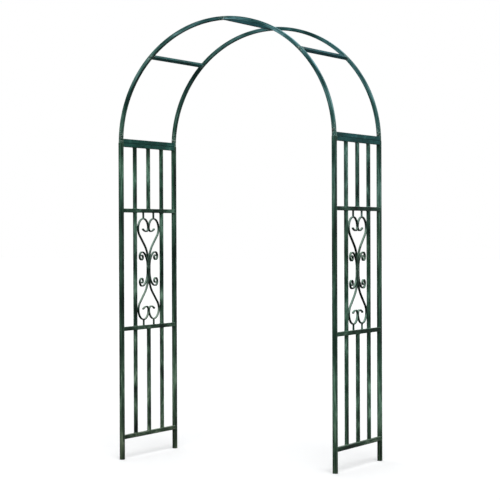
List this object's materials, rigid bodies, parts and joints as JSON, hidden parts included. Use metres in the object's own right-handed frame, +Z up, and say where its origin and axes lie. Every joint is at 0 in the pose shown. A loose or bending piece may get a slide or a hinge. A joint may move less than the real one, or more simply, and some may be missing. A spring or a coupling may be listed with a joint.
{
  "type": "metal trellis arch",
  "caption": "Free-standing garden arch of painted square steel tube: barred side panels with scrollwork carry a round top with cross bars, for climbing plants.",
  "frame": {"origin": "on the ground, at the middle of the rectangle that the four feet make", "axes": "+Z up, X across the passage from the left panel to the right panel, Y along the passage from front to back"},
  "size_m": [1.22, 0.5632, 2.229],
  "materials": {
    "panel_paint": "brushed dark green antique paint, satin, with lighter green streaks",
    "top_paint": "brushed dark blue-green antique paint, satin, with lighter streaks",
    "scroll_paint": "dark green antique paint over hand-bent bar, satin",
    "inner_steel": "plain drawn steel, hidden in the joints",
    "fasteners": "zinc plated, dulled, with green paint rubbed over it"
  },
  "bodies": {
    "root": {"left_bottom_rail": "panel_paint", "left_lower_rail": "panel_paint", "left_upper_rail": "panel_paint", "left_top_rail": "panel_paint", "left_base_rail": "panel_paint", "left_lower_bar_front": "panel_paint", "left_lower_bar_centre": "panel_paint", "left_lower_bar_back": "panel_paint", "left_middle_bar_front": "panel_paint", "left_middle_bar_back": "panel_paint", "left_upper_bar_front": "panel_paint", "left_upper_bar_centre": "panel_paint", "left_upper_bar_back": "panel_paint", "left_front_post": "panel_paint", "left_front_main_scroll": "scroll_paint", "left_front_small_scroll": "scroll_paint", "left_front_hoop": "top_paint", "left_front_spigot": "inner_steel", "left_front_joint_bolt": "fasteners", "left_front_cross_bar_screw": "fasteners", "left_back_post": "panel_paint", "left_back_main_scroll": "scroll_paint", "left_back_small_scroll": "scroll_paint", "left_back_hoop": "top_paint", "left_back_spigot": "inner_steel", "left_back_joint_bolt": "fasteners", "left_back_cross_bar_screw": "fasteners", "left_cross_bar": "top_paint", "right_bottom_rail": "panel_paint", "right_lower_rail": "panel_paint", "right_upper_rail": "panel_paint", "right_top_rail": "panel_paint", "right_base_rail": "panel_paint", "right_lower_bar_front": "panel_paint", "right_lower_bar_centre": "panel_paint", "right_lower_bar_back": "panel_paint", "right_middle_bar_front": "panel_paint", "right_middle_bar_back": "panel_paint", "right_upper_bar_front": "panel_paint", "right_upper_bar_centre": "panel_paint", "right_upper_bar_back": "panel_paint", "right_front_post": "panel_paint", "right_front_main_scroll": "scroll_paint", "right_front_small_scroll": "scroll_paint", "right_front_hoop": "top_paint", "right_front_spigot": "inner_steel", "right_front_joint_bolt": "fasteners", "right_front_cross_bar_screw": "fasteners", "right_back_post": "panel_paint", "right_back_main_scroll": "scroll_paint", "right_back_small_scroll": "scroll_paint", "right_back_hoop": "top_paint", "right_back_spigot": "inner_steel", "right_back_joint_bolt": "fasteners", "right_back_cross_bar_screw": "fasteners", "right_cross_bar": "top_paint", "crown_cross_bar": "top_paint", "crown_front_sleeve": "inner_steel", "crown_back_sleeve": "inner_steel"}
  },
  "joints": []
}
